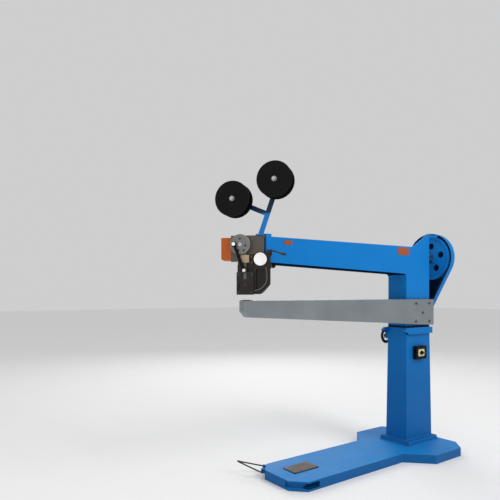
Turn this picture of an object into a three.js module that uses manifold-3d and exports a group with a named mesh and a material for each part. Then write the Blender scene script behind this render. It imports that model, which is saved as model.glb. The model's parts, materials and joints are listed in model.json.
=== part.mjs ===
// Long-arm wire stitching machine: a free-standing press that closes carton seams with wire stitches.
// Millimetres, +Z up. The origin is on the floor, under the middle of the column.
// The arms point along -X, and the operator's side is -Y.
import * as THREE from 'three';
import { mergeVertices } from 'three/addons/utils/BufferGeometryUtils.js';
import Module from 'manifold-3d';

const wasm = await Module();
wasm.setup();

// ---- driving dimensions -------------------------------------------------------------------------
const GAP = 0.3;                  // clearance between fixed neighbours
const WALL = 8;                   // wall of the castings and plates

const BASE = {
  height: 51, front: -1125, rear: 186, tongue: 171, wings: 309, flare: -294, noseCut: 73, tailCut: 88,
};
const PEDAL = { front: -1031, rear: -858, near: -41, far: 56, pivotX: -866, pivotZ: 44 };
const PLINTH = { x: 151, y: 114, height: 28 };
const COLUMN = { x: 121, y: 70, footX: 131, footY: 80, split: 885 };
const ARM = { tip: -1215, topAtTip: 1293, topAtColumn: 1306, bottomAtTip: 1163, bottomAtColumn: 1133 };
const EAR = { foot: -56, top: 1402, thickness: 9 };
const SHAFT_Z = 1250;             // height of the main shaft
const SHAFT_R = 15;
const THROAT = { tip: -1346, top: 970, tipHalf: 22, half: 92, shoulder: -150, rear: 139, rearBottom: 801 };
const WHEEL = { x: 232, width: 26, belt: 152, web: 131, holes: 5, holeR: 22, pitchR: 80 };
const GUARD = { x0: 226, x1: 262, r: 166, wall: 2.5 };
const PULLEY = { y: 170, z: 700, r: 35 };
const HEAD = { x: -1355, angle: -Math.PI / 4, crank: 29, ramS: 22, rodDrop: 130 };
const SPOOL = {
  r: 88, width: 68.5, drum: 46, angle: -52 * Math.PI / 180, hubR: [84, 1556], hubL: [-128, 1472],
};
const HANDWHEEL = { x: -62, y: 135, z: 726, r: 53 };
const LIFT_SCREW_Y = 105;
const FEED_DISC_AT = [101, 1176];   // in the head's own frame: along its front, and height
const FEED_LEVER_AT = [146, 1212];

// ---- materials ----------------------------------------------------------------------------------
function paint(color, roughness = 0.45, metalness = 0.1) {
  return new THREE.MeshStandardMaterial({ color, roughness, metalness });
}

const BLUE = paint(0x0f7ac4);
const GREY = paint(0x848a8d, 0.5, 0.5);
const ORANGE = paint(0xb85a22);
const DARK = paint(0x2e2a27, 0.5, 0.6);
const STEEL = paint(0x8d8c88, 0.35, 0.9);
const BRIGHT = paint(0xc8c8c4, 0.25, 1);
const BRONZE = paint(0x9a8560, 0.45, 0.8);
const BLACK = paint(0x121212, 0.6, 0);
const WHITE = paint(0xf2efea, 0.5, 0);
const CREAM = paint(0xd9d0a0, 0.5, 0);
const BROWN = paint(0x6f6a68, 0.7, 0.3);

// ---- solid helpers ------------------------------------------------------------------------------
function toSolid(geometry) {
  const bare = geometry.clone();
  bare.deleteAttribute('normal');
  bare.deleteAttribute('uv');
  const merged = mergeVertices(bare, 1e-4);
  const mesh = new wasm.Mesh({
    numProp: 3,
    vertProperties: new Float32Array(merged.attributes.position.array),
    triVerts: new Uint32Array(merged.index.array),
  });
  return new wasm.Manifold(mesh);
}

function toGeometry(solid) {
  const { numProp, vertProperties, triVerts } = solid.getMesh();
  const positions = new Float32Array((vertProperties.length / numProp) * 3);
  for (let i = 0; i < positions.length / 3; i += 1) {
    positions.set(vertProperties.subarray(i * numProp, i * numProp + 3), i * 3);
  }
  const geometry = new THREE.BufferGeometry();
  geometry.setAttribute('position', new THREE.BufferAttribute(positions, 3));
  geometry.setIndex(new THREE.BufferAttribute(new Uint32Array(triVerts), 1));
  const flat = geometry.toNonIndexed();
  flat.computeVertexNormals();
  return flat;
}

const join = (...solids) => solids.reduce((sum, next) => sum.add(next));
const cut = (solid, ...tools) => tools.reduce((rest, tool) => rest.subtract(tool), solid);

function box(x0, x1, y0, y1, z0, z1) {
  const geometry = new THREE.BoxGeometry(x1 - x0, y1 - y0, z1 - z0);
  geometry.translate((x0 + x1) / 2, (y0 + y1) / 2, (z0 + z1) / 2);
  return toSolid(geometry);
}

// Turns a geometry built along local Z so that its Z runs along the given row axis.
function alongAxis(geometry, axis) {
  const basis = new THREE.Matrix4();
  const [x, y, z] = [new THREE.Vector3(1, 0, 0), new THREE.Vector3(0, 1, 0), new THREE.Vector3(0, 0, 1)];
  if (axis === 'x') basis.makeBasis(y, z, x);
  if (axis === 'y') basis.makeBasis(x, z.clone(), y.clone().negate());
  return geometry.applyMatrix4(basis);
}

// A cylinder from a to b along an axis; centre gives its other two coordinates in X, Y, Z order.
function cylinder(axis, r, a, b, centre, segments = 16, endR = r) {
  const geometry = new THREE.CylinderGeometry(endR, r, b - a, segments);
  geometry.rotateX(Math.PI / 2);
  if (axis === 'x') geometry.rotateY(Math.PI / 2).translate((a + b) / 2, centre[0], centre[1]);
  if (axis === 'y') geometry.rotateX(-Math.PI / 2).translate(centre[0], (a + b) / 2, centre[1]);
  if (axis === 'z') geometry.translate(centre[0], centre[1], (a + b) / 2);
  return toSolid(geometry);
}

// An outline extruded from a to b: (y, z) along X, (x, z) along Y, or (x, y) along Z.
function prism(axis, outline, a, b) {
  const isShape = outline instanceof THREE.Shape;
  const shape = isShape ? outline : new THREE.Shape(outline.map(([p, q]) => new THREE.Vector2(p, q)));
  const geometry = new THREE.ExtrudeGeometry(shape, { depth: b - a, bevelEnabled: false, curveSegments: 10 });
  alongAxis(geometry, axis);
  if (axis === 'x') geometry.translate(a, 0, 0);
  if (axis === 'y') geometry.translate(0, b, 0);
  if (axis === 'z') geometry.translate(0, 0, a);
  return toSolid(geometry);
}

// A solid of revolution about an axis, from [radius, along] pairs that close on themselves.
function turned(axis, profile, centre, segments = 32) {
  const points = profile.map(([r, h]) => new THREE.Vector2(r, h));
  if (profile[0][0] > 0) points.push(points[0].clone());
  const geometry = new THREE.LatheGeometry(points, segments);
  geometry.rotateX(Math.PI / 2);
  if (axis === 'x') geometry.rotateY(Math.PI / 2).translate(0, centre[0], centre[1]);
  if (axis === 'y') geometry.rotateX(-Math.PI / 2).translate(centre[0], 0, centre[1]);
  if (axis === 'z') geometry.translate(centre[0], centre[1], 0);
  const solid = toSolid(geometry);
  return solid.volume() < 0 ? toSolid(flipped(geometry)) : solid;
}

function flipped(geometry) {
  const copy = geometry.clone();
  const index = copy.index.array;
  for (let i = 0; i < index.length; i += 3) [index[i], index[i + 1]] = [index[i + 1], index[i]];
  return copy;
}

// A round bar that follows a curve of points.
function bar(points, r, steps, sides = 8, tension = 0.5) {
  const knots = points.map((p) => new THREE.Vector3(...p));
  const curve = new THREE.CatmullRomCurve3(knots, false, 'catmullrom', tension);
  const shape = new THREE.Shape();
  for (let i = 0; i < sides; i += 1) {
    const angle = (i / sides) * 2 * Math.PI;
    const [p, q] = [r * Math.cos(angle), r * Math.sin(angle)];
    if (i === 0) shape.moveTo(p, q);
    else shape.lineTo(p, q);
  }
  return toSolid(new THREE.ExtrudeGeometry(shape, { steps, extrudePath: curve, bevelEnabled: false }));
}

const machine = new THREE.Group();
const head = new THREE.Group();
head.position.set(HEAD.x, 0, 0);
head.rotation.z = HEAD.angle;
const wireStand = new THREE.Group();
wireStand.position.set(-1268, -58.4, 0);
wireStand.rotation.z = SPOOL.angle;
machine.add(head, wireStand);

function part(name, solid, material, group = machine) {
  const mesh = new THREE.Mesh(toGeometry(solid), material);
  mesh.name = name;
  group.add(mesh);
}

// ---- base and foot controls ---------------------------------------------------------------------
function basePlan(inset) {
  const { front, rear, tongue, wings, flare, noseCut, tailCut } = BASE;
  const diagonal = inset * Math.tan(Math.PI / 8);
  const half = [
    [front + inset, tongue - noseCut - diagonal],
    [front + noseCut + diagonal, tongue - inset],
    [flare + diagonal, tongue - inset],
    [flare + wings - tongue + diagonal, wings - inset],
    [rear - tailCut - diagonal, wings - inset],
    [rear - inset, wings - tailCut - diagonal],
  ];
  const mirrored = half.map(([x, y]) => [x, -y]).reverse();
  return [...mirrored, ...half].reverse();
}

function makeBase() {
  const { height } = BASE;
  const pocket = box(-1040, -330, -140, 140, -5, height - 11);
  const pedalSlot = box(PEDAL.front - 3, PEDAL.rear + 3, PEDAL.near - 3, PEDAL.far + 3, height - 20,
      height + 5);
  // Under the near front corner the skirt is rolled back from the edge of the top plate.
  const rolled = [[-1112, -70], [-1108, -88], [-1092, -112], [-1066, -136], [-1034, -152], [-1000, -158],
      [-975, -158]];
  const relief = prism('z', [[-1140, -70], ...rolled, [-975, -190], [-1140, -190]].reverse(), 11, height - 9);
  const body = cut(prism('z', basePlan(0), 0, height), pocket, pedalSlot, relief);
  part('base_casting', body, BLUE);
}

// The pedal plate lies in a slot in the base and turns down about a pin under its rear edge.
function makePedal() {
  const { front, rear, near, far, pivotX, pivotZ } = PEDAL;
  const top = BASE.height;
  const pivot = [pivotX, pivotZ];
  const plate = box(front, rear, near, far, top + 1, top + 6);
  const lug = box(pivotX - 7, pivotX + 7, 0, 14, pivotZ - 7, top + 2);
  const stem = box(-1000, -976, 0, 14, 20, top + 2);
  part('pedal_plate', cut(join(plate, lug, stem), cylinder('y', 3.6, -5, 20, pivot, 16)), BROWN);
  const ears = [[-7, -1], [15, 21]].map(([a, b]) => box(pivotX - 7, pivotX + 7, a, b, 30, 49.5));
  const pin = cylinder('y', 3, -6, 20, pivot, 16);
  const foot = join(box(pivotX - 7, -830, -7, 21, 30, 36), box(-853, -830, -7, 21, 30, top - 11 - GAP));
  part('pedal_hinge', join(...ears, pin, foot), STEEL);
}

// The wire treadle is a V of round bar on a pin along the base's far front corner.
function makeTreadle() {
  const mid = [-1088.5, 134.5];
  const across = [Math.SQRT1_2, Math.SQRT1_2];
  const out = [-Math.SQRT1_2, Math.SQRT1_2];
  const at = (s, o, z) => [mid[0] + s * across[0] + o * out[0], mid[1] + s * across[1] + o * out[1], z];
  const z = 38;
  const legs = [-1, 1].map((side) => {
    const path = [at(54 * side, 14, z), at(44 * side, 40, z + 4), at(8 * side, 142, 69), at(0, 160, 75)];
    return bar(path, 4, 10);
  });
  const axle = bar([at(-56, 14, z), at(0, 14, z), at(56, 14, z)], 5, 2, 10);
  part('treadle_bail', join(...legs, axle), DARK);
  const bracket = new THREE.BoxGeometry(16, 22, 24);
  const lugs = [-1, 1].map((side) => {
    const lug = bracket.clone().rotateZ(Math.PI / 4);
    const [x, y] = at(30 * side, 11.6, z);
    return toSolid(lug.translate(x, y, z));
  });
  const strip = new THREE.BoxGeometry(80, 3, 24).rotateZ(Math.PI / 4);
  const [sx, sy] = at(0, 2.1, z);
  const hole = bar([at(-60, 14, z), at(0, 14, z), at(60, 14, z)], 5.8, 2, 16);
  part('treadle_bracket', cut(join(...lugs, toSolid(strip.translate(sx, sy, z))), hole), BLUE);
}

// ---- column and upper frame ---------------------------------------------------------------------
function taperedTube(x0, y0, z0, x1, y1, z1) {
  const corners = [];
  for (const [x, y, z] of [[x0, y0, z0], [x1, y1, z1]]) {
    corners.push([-x, -y, z], [x, -y, z], [x, y, z], [-x, y, z]);
  }
  const faces = [[0, 2, 1], [0, 3, 2], [4, 5, 6], [4, 6, 7]];
  for (let i = 0; i < 4; i += 1) {
    const j = (i + 1) % 4;
    faces.push([i, j, j + 4], [i, j + 4, i + 4]);
  }
  const geometry = new THREE.BufferGeometry();
  geometry.setAttribute('position', new THREE.BufferAttribute(new Float32Array(corners.flat()), 3));
  geometry.setIndex(faces.flat());
  return toSolid(geometry);
}

function makeColumn() {
  const foot = BASE.height + PLINTH.height;
  const { x, y, footX, footY, split } = COLUMN;
  const plinth = taperedTube(PLINTH.x, PLINTH.y, BASE.height + GAP, PLINTH.x - 6, PLINTH.y - 6, foot);
  part('column_foot', cut(plinth, box(-80, 80, -40, 40, 40, foot + 5)), BLUE);
  const outer = taperedTube(footX, footY, foot + GAP, x, y, split);
  const inner = taperedTube(footX - WALL, footY - WALL, foot - 5, x - WALL, y - WALL, split + 5);
  const access = box(100, 160, -42, 42, 240, 620);
  const glandHole = cylinder('x', 11, 100, 160, [0, 150], 16);
  part('lower_column', cut(outer, inner, access, glandHole), BLUE);

  const lean = Math.atan2(footX - x, split - foot);
  const cover = new THREE.Group();
  cover.position.set(footX, 0, foot);
  cover.rotation.y = -lean;
  machine.add(cover);
  const screwAt = [[-46, 175], [46, 175], [-46, 529], [46, 529]];
  const screws = screwAt.map(([a, b]) => cylinder('x', 6, 4, 8.5, [a, b], 12));
  part('column_rear_cover', join(box(GAP + 0.1, 4.5, -56, 56, 145, 559), ...screws), BLUE, cover);
  const gland = join(cylinder('x', 10, -14, 4, [0, 150 - foot], 16),
      cylinder('x', 16, 1.2, 12, [0, 150 - foot], 6));
  part('cable_gland', join(gland, cylinder('x', 12, 11, 26, [0, 150 - foot], 16)), BLACK, cover);
}

function armProfile(inset) {
  const { tip, topAtTip, topAtColumn, bottomAtTip, bottomAtColumn } = ARM;
  const shape = new THREE.Shape();
  shape.moveTo(tip - (inset ? 30 : 0), topAtTip - inset);
  shape.lineTo(tip - (inset ? 30 : 0), bottomAtTip + inset);
  const filletEnd = -COLUMN.x - 26;
  shape.lineTo(filletEnd, bottomAtColumn + inset);
  shape.quadraticCurveTo(-COLUMN.x + inset, bottomAtColumn + inset, -COLUMN.x + inset, bottomAtColumn - 26);
  shape.lineTo(-COLUMN.x + inset, COLUMN.split + GAP - (inset ? 20 : 0));
  shape.lineTo(COLUMN.x - inset, COLUMN.split + GAP - (inset ? 20 : 0));
  shape.lineTo(COLUMN.x - inset, topAtColumn - inset);
  shape.lineTo(-82, topAtColumn - inset);
  return shape;
}

function makeUpperFrame() {
  const { x, y } = COLUMN;
  const shell = cut(prism('y', armProfile(0), -y, y), prism('y', armProfile(WALL), -y + WALL, y - WALL));
  const earShape = [[EAR.foot, ARM.topAtColumn - 4], [x, ARM.topAtColumn - 4], [x, EAR.top],
      [x - 14, EAR.top]];
  const ear = prism('y', earShape, -y, -y + EAR.thickness);
  const boss = cylinder('x', 48, x - 20, x + 14, [0, SHAFT_Z], 32);
  const bore = cylinder('x', 36, x - 40, x + 40, [0, SHAFT_Z], 32);
  const guardStays = [box(x - 10, GUARD.x0 - GAP, -65, -55, 1384, 1396.6),
      box(x - 4, GUARD.x1 - GAP, 30, 42, 990, 1002)];
  const pawlCheek = join(box(x - 4, 154, 7, 18, 1150, 1182), cylinder('y', 4, -9, 8, [142, 1166], 16));
  part('upper_frame', cut(join(shell, ear, boss, pawlCheek, ...guardStays), bore), BLUE);

  const flange = cut(box(ARM.tip - 33, ARM.tip - GAP, -74, 74, 1150, 1306),
      cylinder('x', 34, -1300, -1200, [0, SHAFT_Z], 32));
  part('arm_end_flange', flange, BLUE);
  const ring = (x0, x1, r) => turned('x', [[SHAFT_R + 0.7, x0], [r, x0], [r, x1], [SHAFT_R + 0.7, x1]],
      [0, SHAFT_Z], 32);
  part('rear_bearing', ring(x - 18, x + 12, 35), STEEL);
  part('front_bearing', ring(ARM.tip - 31, ARM.tip - 3, 33), STEEL);
}

// ---- drive --------------------------------------------------------------------------------------
function makeDrive() {
  const axis = [0, SHAFT_Z];
  part('main_shaft', join(cylinder('x', SHAFT_R, -1284, 300, axis, 18),
      cylinder('x', 25, 276, 290, axis, 6)), STEEL);
  const clutchProfile = [[SHAFT_R + 0.4, 150], [34, 150], [34, 168], [45, 168], [45, 205],
      [SHAFT_R + 0.4, 205]];
  part('clutch_hub', cut(turned('x', clutchProfile, axis, 32), box(170, 203, 40, 60, 1243, 1257)), STEEL);

  const { x, width, belt, web, holes, holeR, pitchR } = WHEEL;
  const [back, mid] = [x + width, x + width / 2];
  const rim = [
    [SHAFT_R + 0.7, x - 12], [40, x - 12], [40, x], [web - 5, x], [web, x - 4], [belt - 4, x - 4],
    [belt - 4, x], [belt - 12, mid - 4], [belt - 12, mid + 4], [belt - 4, back], [web, back], [web, x + 14],
    [40, x + 14], [40, back + 8], [SHAFT_R + 0.7, back + 8],
  ];
  const bores = Array.from({ length: holes }, (_, i) => {
    const angle = Math.PI * (93 / 180) + (i * 2 * Math.PI) / holes;
    return cylinder('x', holeR, x - 10, back,
        [pitchR * Math.cos(angle), SHAFT_Z + pitchR * Math.sin(angle)], 16);
  });
  part('flywheel', cut(turned('x', rim, axis, 36), ...bores), BLUE);

  const pulley = [[8.7, x + 1], [18, x + 1], [PULLEY.r, x + 1], [PULLEY.r, x + 3], [PULLEY.r - 8, mid - 4],
    [PULLEY.r - 8, mid + 4], [PULLEY.r, back - 3], [PULLEY.r, back - 1], [8.7, back - 1]];
  const motorShaft = cylinder('x', 8.9, 207, x + width + 4, [PULLEY.y, PULLEY.z], 16);
  part('motor_pulley', join(turned('x', pulley, [PULLEY.y, PULLEY.z], 32), motorShaft), STEEL);
  part('v_belt', cut(beltRing(belt - 1, PULLEY.r - 0.5, mid - 4.4, mid + 4.4),
      beltRing(belt - 10, PULLEY.r - 6.6, mid - 9, mid + 9)), BLACK);
}

// The outline of a belt round the flywheel and the motor pulley, as the convex shape that holds two circles.
function beltOutline(bigR, smallR) {
  const [dy, dz] = [PULLEY.y, PULLEY.z - SHAFT_Z];
  const span = Math.hypot(dy, dz);
  const heading = Math.atan2(dz, dy);
  const open = Math.acos((bigR - smallR) / span);
  const shape = new THREE.Shape();
  const steps = [24, 10];
  for (let i = 0; i <= steps[0]; i += 1) {
    const angle = heading + open + (i / steps[0]) * (2 * Math.PI - 2 * open);
    const point = [bigR * Math.cos(angle), SHAFT_Z + bigR * Math.sin(angle)];
    if (i === 0) shape.moveTo(...point);
    else shape.lineTo(...point);
  }
  for (let i = 0; i <= steps[1]; i += 1) {
    const angle = heading - open + (i / steps[1]) * 2 * open;
    shape.lineTo(PULLEY.y + smallR * Math.cos(angle), PULLEY.z + smallR * Math.sin(angle));
  }
  return shape;
}

const beltRing = (bigR, smallR, a, b) => prism('x', beltOutline(bigR, smallR), a, b);

function makeBeltGuard() {
  const { x0, x1, r, wall } = GUARD;
  const outer = beltRing(r, 52, x0, x1 + wall);
  const inner = beltRing(r - wall, 52 - wall, x0 - 5, x1);
  const hubHole = cylinder('x', 42, x1 - 5, x1 + 10, [0, SHAFT_Z], 32);
  const tab = box(x0 - 14, x0 + 2, -67, -53, 1397, 1403);
  part('belt_guard', cut(join(cut(outer, inner), tab), hubHole), BLUE);
}

function makeMotor() {
  const { y, z } = PULLEY;
  const body = cylinder('x', 52, 96, 212, [y, z], 32);
  const fins = Array.from({ length: 12 }, (_, i) => {
    const fin = new THREE.BoxGeometry(100, 4, 12).translate(154, 0, 54).rotateX((i / 12) * 2 * Math.PI);
    return toSolid(fin.translate(0, y, z));
  });
  const feet = box(100, 208, y - 46, y + 46, 642 - 4, 660);
  const shaftBore = cylinder('x', 14, 205, 230, [y, z], 18);
  const fanCover = join(cylinder('x', 57, 72, 97, [y, z], 32), cylinder('x', 48, 66, 73, [y, z], 32));
  part('motor', cut(join(body, ...fins, feet, fanCover), shaftBore), BLUE);
  const leg = box(90, 118, 74.5, 82, 560, 638);
  const shelf = box(90, 218, 74.5, y + 56, 628, 637.6);
  const web = prism('x', [[80, 629], [200, 629], [80, 565]], 100, 108);
  part('motor_bracket', join(leg, shelf, web), BLUE);
}

function makeClutchLever() {
  const pivot = [142, 1166];
  const beam = box(130, 200, -6, 6, 1160, 1172);
  const nose = box(186, 200, -6, 6, 1170, 1200);
  const bore = cylinder('y', 4.7, -10, 10, pivot, 16);
  part('clutch_lever', cut(join(beam, nose, cylinder('y', 11, -6, 6, pivot, 16)), bore), STEEL);
}

// ---- stitching head, in the head's own turned frame: x to the right, -y outwards, z up -----------
function makeGearHousing() {
  const plan = [[-22, 16], [117, 16], [117, 33], [50, 100], [-22, 100]];
  const cavity = [[-30, 19.4], [104, 19.4], [104, 34], [46, 92], [-30, 92]];
  const outer = prism('z', plan, 1203, 1297);
  const inner = prism('z', cavity, 1190, 1289);
  const crankBore = cylinder('y', 11, 10, 30, [0, SHAFT_Z], 18);
  const shaftBore = toSolid(new THREE.CylinderGeometry(19, 19, 90, 28).rotateZ(Math.PI / 2)
    .translate(100, 0, SHAFT_Z).rotateZ(-HEAD.angle));
  const lugs = [[-8, 1288], [106, 1288], [106, 1212]].map(([x, z]) => cylinder('y', 6, 12.5, 18, [x, z], 6));
  const backPlate = box(-51, -18.5, 15, 18.7, 1165, 1297);
  part('gear_housing', join(cut(outer, inner, crankBore, shaftBore), ...lugs, backPlate), BROWN, head);
  const coverPlan = [[-102, 1180], [-96, 1174], [-25, 1174], [-25, 1202.7], [-22.3, 1202.7],
      [-22.3, 1287], [-102, 1287]];
  const coverHollow = [[-99, 1181], [-95, 1177], [-28, 1177], [-28, 1205], [-10, 1205], [-10, 1284],
      [-99, 1284]];
  part('side_guard', cut(prism('y', coverPlan, 19, 98), prism('y', coverHollow, 22, 95)), ORANGE, head);
}

// A bevel gear of straight teeth whose cone comes to a point at the origin; it lies at negative Z.
function bevelGear(near, far, halfAngle, teeth, bore) {
  const slope = Math.tan(halfAngle);
  const profile = [[bore, -near], [near * slope * 0.86, -near], [far * slope * 0.86, -far], [bore, -far]];
  const core = turned('z', profile, [0, 0], 16);
  const rootAndTip = [[0.7, 1.2], [1.08, 0.62]];   // share of the pitch radius, and relative tooth width
  const tooth = Array.from({ length: teeth }, (_, i) => {
    const angle = (i / teeth) * 2 * Math.PI;
    const corner = (h, k, w, side) => {
      const half = (side * w * Math.PI) / teeth / 2.6;
      const r = h * slope * k;
      return [r * Math.cos(angle + half), r * Math.sin(angle + half), -h];
    };
    const ring = (h) => rootAndTip.flatMap(([k, w]) => [corner(h, k, w, -1), corner(h, k, w, 1)]);
    return hull8([...ring(near), ...ring(far)]);
  });
  return join(core, ...tooth);
}

// A six-sided block from two rings of four points, each ring as inner pair then outer pair.
function hull8(p) {
  const quad = (a, b, c, d) => [a, b, c, a, c, d];
  const geometry = new THREE.BufferGeometry();
  geometry.setAttribute('position', new THREE.BufferAttribute(new Float32Array(p.flat()), 3));
  geometry.setIndex([...quad(0, 2, 3, 1), ...quad(4, 5, 7, 6), ...quad(0, 1, 5, 4), ...quad(2, 6, 7, 3),
    ...quad(0, 4, 6, 2), ...quad(1, 3, 7, 5)]);
  const solid = toSolid(geometry);
  return solid.volume() < 0 ? toSolid(flipped(geometry)) : solid;
}

function placed(solid, matrix) {
  return toSolid(toGeometry(solid).applyMatrix4(matrix));
}

function makeCrank() {
  const axis = [0, SHAFT_Z];
  const teeth = 12;
  const gear = bevelGear(53, 72, Math.PI / 8, teeth, SHAFT_R + 0.4);
  const intoArm = new THREE.Matrix4().makeTranslation(HEAD.x, 0, SHAFT_Z)
    .multiply(new THREE.Matrix4().makeRotationY(-Math.PI / 2));
  part('drive_bevel_gear', placed(gear, intoArm), STEEL);
  const crankGear = bevelGear(53, 72, Math.PI / 8, teeth, 10.4);
  const intoHead = new THREE.Matrix4().makeTranslation(0, 0, SHAFT_Z)
    .multiply(new THREE.Matrix4().makeRotationX(Math.PI / 2))
    .multiply(new THREE.Matrix4().makeRotationZ(Math.PI / teeth));
  part('crank_bevel_gear', placed(crankGear, intoHead), STEEL, head);
  part('crank_shaft', cylinder('y', 10, -14.5, 84, axis, 18), STEEL, head);
  const holeAt = [[0, 29], [27, -6], [19, -30], [-7, -30]];
  const holes = holeAt.map(([x, z]) => cylinder('y', 3.5, -20, 0, [x, SHAFT_Z + z], 12));
  const outline = [[10.5, 3], [24, 3], [48, 3], [50, 5], [50, 13], [48, 15], [10.5, 15]];
  const profile = outline.map(([r, h]) => [r, -h]);
  part('crank_disc', cut(turned('y', profile, axis, 32), ...holes), GREY, head);
  const pinAt = [-HEAD.crank, SHAFT_Z];
  part('crank_pin', join(cylinder('y', 7, -32, -15.3, pinAt, 16), cylinder('y', 10, -36, -28, pinAt, 6)),
      BRIGHT, head);
}

function makeRodAndRam() {
  const { crank, ramS, rodDrop } = HEAD;
  const top = [-crank, SHAFT_Z];
  const low = [ramS, SHAFT_Z - rodDrop];
  const [dx, dz] = [low[0] - top[0], low[1] - top[1]];
  const span = Math.hypot(dx, dz);
  const [nx, nz] = [(-dz / span) * 6.5, (dx / span) * 6.5];
  const blade = [[top[0] + nx, top[1] + nz], [low[0] + nx, low[1] + nz], [low[0] - nx, low[1] - nz],
      [top[0] - nx, top[1] - nz]];
  const [front, back] = [-26, -17.5];
  const rod = join(prism('y', blade, front, back), cylinder('y', 13, front, back, top, 28),
      cylinder('y', 11, front, back, low, 28));
  part('connecting_rod', cut(rod, cylinder('y', 7.7, -40, 0, top, 18)), BLACK, head);

  part('ram_bar', join(box(14, 30, 1, 13, 1013, 1222), box(17, 27, 3, 10, 1004, 1014)), STEEL, head);
  part('ram_pin', join(cylinder('y', 6, -16, 0.6, low, 16),
      box(12.7, 31.3, -6, -0.3, low[1] - 9, low[1] + 9)), BRIGHT, head);
  const guide = cut(box(0, 44, -2, 15.5, 1160, 1198), box(13.2, 30.8, 0.2, 13.8, 1150, 1200));
  part('ram_guide', guide, BRONZE, head);
}

function makeHeadBody() {
  const channel = box(13.2, 30.8, 0.2, 13.8, 990, 1150);
  const lower = prism('y', [[-18, 1003], [95, 1003], [110, 1012], [140, 1046], [140, 1148], [-18, 1148]],
      15.9, 60);
  const column = box(-16, 62, 15.9, 60, 1146, 1202.7);
  const rails = [box(-18, 13.2, 0.2, 17, 1003, 1112), box(30.8, 66, 0.2, 17, 1003, 1112)];
  part('head_body', cut(join(lower, column, ...rails), channel), DARK, head);
  const face = [[-18, 1000], [67, 1000], [67, 1112], [32, 1112], [32, 1078], [12, 1078], [12, 1112],
      [-18, 1112]];
  const boltAt = [[-9, 1012], [58, 1012], [-9, 1100], [58, 1100], [24, 1050]];
  const bolts = boltAt.map(([x, z]) => cylinder('y', 5, -13, -8, [x, z], 6));
  part('front_plate', join(prism('y', face, -10, -0.1), ...bolts), DARK, head);
  const feedShape = [[69, 1010], [100, 1010], [116, 1018], [150, 1052], [150, 1186], [158, 1200],
      [158, 1224], [134, 1224], [128, 1205], [69, 1205]];
  const window1 = [[78, 1022], [98, 1022], [122, 1046], [122, 1128], [78, 1128]];
  const feed = cut(prism('y', feedShape, 3, 12), prism('y', window1, 0, 14),
      cylinder('y', 8, 0, 20, FEED_DISC_AT, 18));
  const standoffAt = [[75, 1015], [134, 1052], [134, 1140]];
  const standoffs = standoffAt.map(([x, z]) => cylinder('y', 4.5, 11, 15.6, [x, z], 12));
  const leverPin = join(cylinder('y', 4, -15, 4, FEED_LEVER_AT, 16),
      cylinder('y', 7, -17, -12, FEED_LEVER_AT, 6));
  const knobPost = join(box(149, 155, 3, 12, 1130, 1162), cylinder('x', 4, 154, 176, [7, 1142], 16));
  part('feed_plate', join(feed, ...standoffs, leverPin, knobPost), DARK, head);
  part('feed_disc', join(cylinder('y', 32, -14, -4, FEED_DISC_AT, 40),
      cylinder('y', 7.2, -5, 20, FEED_DISC_AT, 16)), WHITE, head);
  part('wire_guide', bar([[128, -3, 1138], [134, -4, 1100], [130, -4, 1062], [108, -4, 1034],
      [80, -4, 1022], [71, -4, 1020]], 3.4, 16), BRIGHT, head);
  const lever = bar([[146, -6, 1214], [168, -8, 1216], [192, -8, 1207], [208, -8, 1202]], 4, 8);
  const grip = bar([[205, -8, 1203], [216, -8, 1200], [228, -8, 1198]], 7, 3, 8);
  const hub = cut(cylinder('y', 10, -11, -1, FEED_LEVER_AT, 16),
      cylinder('y', 4.8, -20, 5, FEED_LEVER_AT, 16));
  part('feed_lever', join(cut(lever, cylinder('y', 5, -20, 5, FEED_LEVER_AT, 16)), grip, hub,
      box(151.5, 158, -9, -3, 1209, 1217)), BLACK, head);
  const knob = turned('x', [[4.6, 158], [9, 158], [10, 160], [10, 170], [8, 172], [4.6, 172]], [7, 1142], 16);
  part('tension_knob', knob, BLACK, head);
}

// ---- wire stand, in its own turned frame --------------------------------------------------------
function makeWireStand() {
  const { r, width, drum, hubR, hubL } = SPOOL;
  const junction = [31, 1402];
  const strip = (from, to, half) => {
    const [dx, dz] = [to[0] - from[0], to[1] - from[1]];
    const span = Math.hypot(dx, dz);
    const [nx, nz] = [(-dz / span) * half, (dx / span) * half];
    return [[from[0] + nx, from[1] + nz], [from[0] - nx, from[1] - nz], [to[0] - nx, to[1] - nz],
        [to[0] + nx, to[1] + nz]];
  };
  const runs = [[[-1, 1311], hubR], [junction, hubL]];
  const arms = runs.map(([from, to]) => prism('y', strip(from, to, 12), 0, 8));
  const ends = [hubR, hubL].map((hub) => cylinder('y', 16, 0, 8, hub, 18));
  const bores = [hubR, hubL].map((hub) => cylinder('y', 6.5, -5, 12, hub, 16));
  const foot = join(box(-26, 12, -12, 12, 1297.3, 1304), box(-14, 12, 0, 8, 1303, 1316));
  part('spool_bracket', cut(join(foot, ...arms, ...ends), ...bores), BLUE, wireStand);
  for (const [side, hub] of [['right', hubR], ['left', hubL]]) {
    const front = -17 - width;
    const [rod, nut] = [cylinder('y', 6, front - 9, 16, hub, 16),
        cylinder('y', 10, front - 8, front - 1.5, hub, 6)];
    const spindle = join(rod, nut, cylinder('y', 11, 8.3, 15, hub, 6), cylinder('y', 11, -12, -GAP, hub, 18));
    part(`spindle_${side}`, spindle, STEEL, wireStand);
    const end = -14 - width;
    const profile = [[6.8, -14], [r, -14], [r, -17.5], [drum, -19.5], [drum, end + 5.5], [r, end + 3.5],
      [r, end], [r - 8, end - 1.2], [22, end - 1.2], [20, end - 3], [6.8, end - 3]];
    part(`spool_${side}`, turned('y', profile, hub, 30), BLACK, wireStand);
  }
}

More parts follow.
